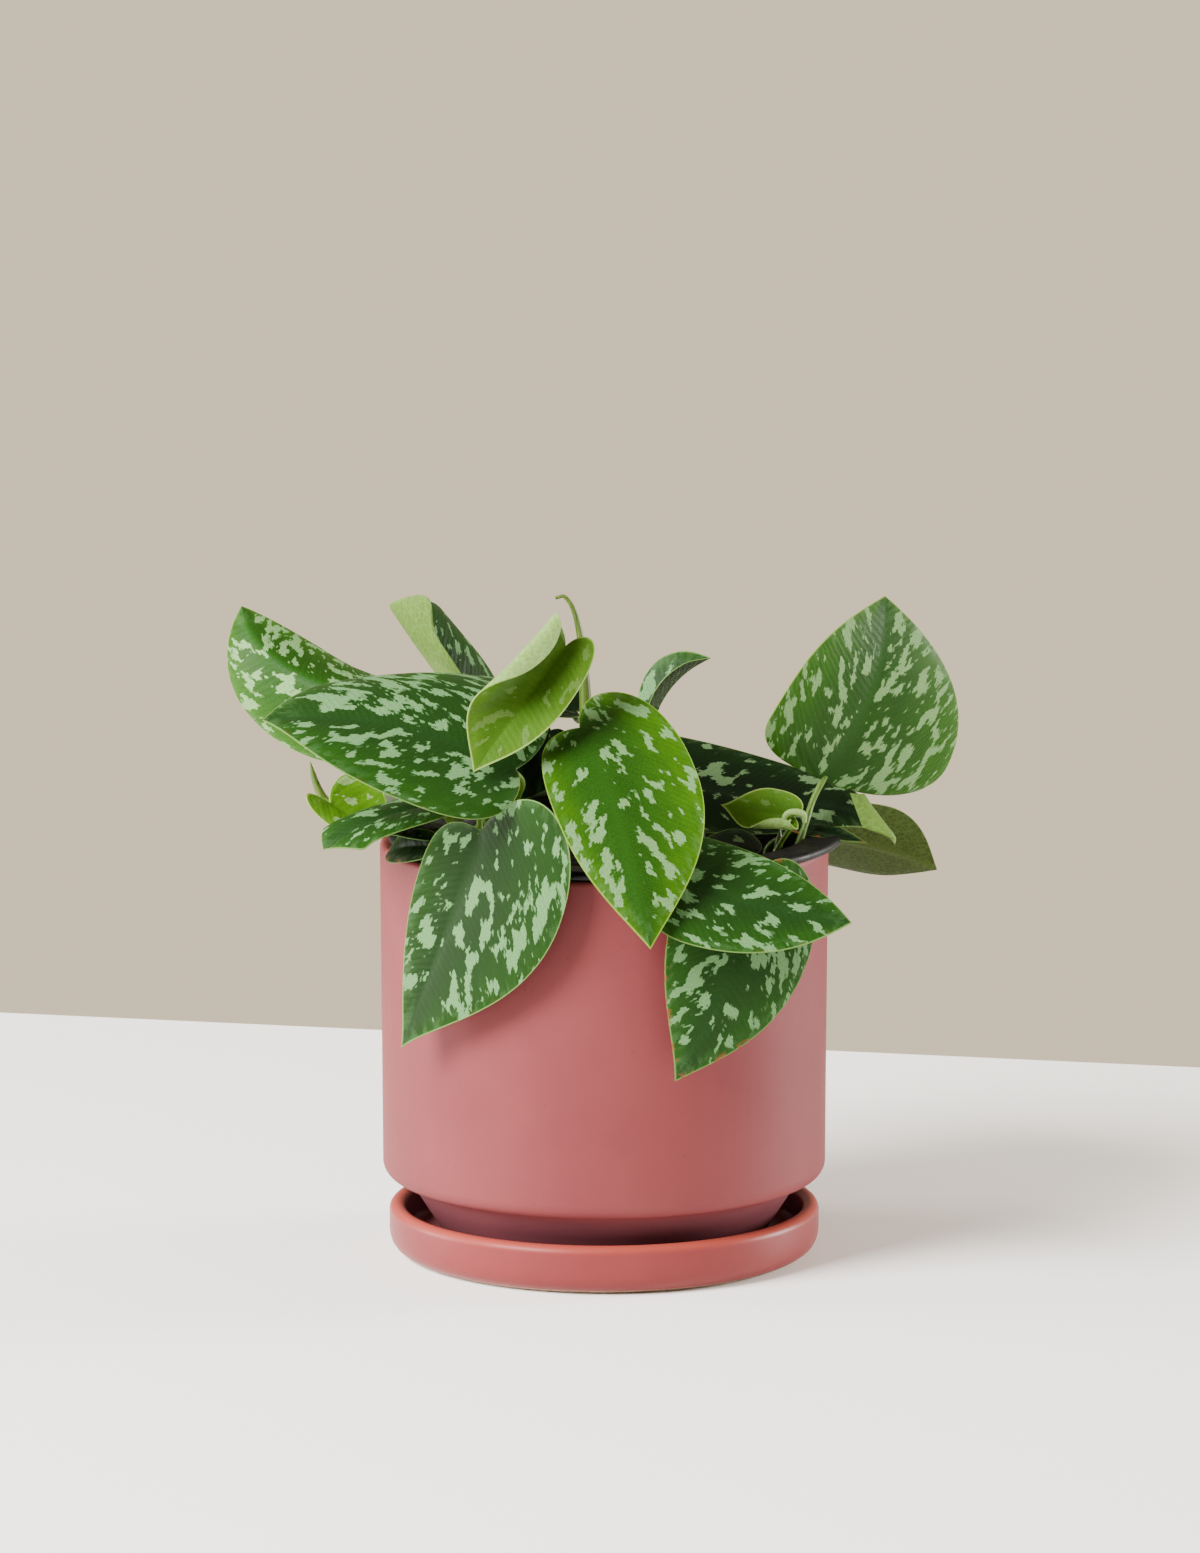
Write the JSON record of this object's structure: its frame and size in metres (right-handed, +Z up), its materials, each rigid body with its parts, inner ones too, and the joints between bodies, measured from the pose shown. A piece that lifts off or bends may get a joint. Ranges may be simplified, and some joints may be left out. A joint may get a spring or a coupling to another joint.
{
  "type": "potted plant",
  "caption": "Satin pothos with silver-patched heart-shaped leaves in a nursery pot, set in a glazed cylinder pot on a matching saucer.",
  "frame": {"origin": "on the pot's axis, at the underside of the saucer", "axes": "+Z up along the pot's axis; -Y towards the side with the lowest hanging leaves; +X to the right seen from there"},
  "size_m": [0.2131, 0.1828, 0.1967],
  "materials": {
    "rose_glaze": "satin",
    "black_plastic": "matte",
    "potting_mix": "matte",
    "leaf_green": "satin",
    "stem_green": "satin"
  },
  "bodies": {
    "root": {"saucer": "rose_glaze", "pot": "rose_glaze", "nursery_pot": "black_plastic", "soil": "potting_mix", "vine_front_left": "stem_green", "vine_left": "stem_green", "vine_centre": "stem_green", "vine_front_right": "stem_green", "vine_right_back": "stem_green", "vine_back": "stem_green", "leaf_front_centre": "leaf_green", "leaf_front_left": "leaf_green", "leaf_left_front": "leaf_green", "leaf_left_back": "leaf_green", "leaf_young_rolled": "leaf_green", "leaf_top_folded": "leaf_green", "leaf_right_upright": "leaf_green", "leaf_right_dark": "leaf_green", "leaf_right_low": "leaf_green", "leaf_front_right": "leaf_green", "leaf_front_right_hanging": "leaf_green", "leaf_back_small": "leaf_green", "leaf_young_furled": "leaf_green", "leaf_young_left": "leaf_green", "leaf_left_narrow": "leaf_green", "leaf_left_inner": "leaf_green", "leaf_right_inner": "leaf_green", "leaf_centre_behind": "leaf_green", "leaf_centre_flat": "leaf_green", "leaf_rear_left": "leaf_green", "leaf_rear_centre": "leaf_green", "leaf_rear_right": "leaf_green", "leaf_rear_side": "leaf_green"}
  },
  "joints": []
}
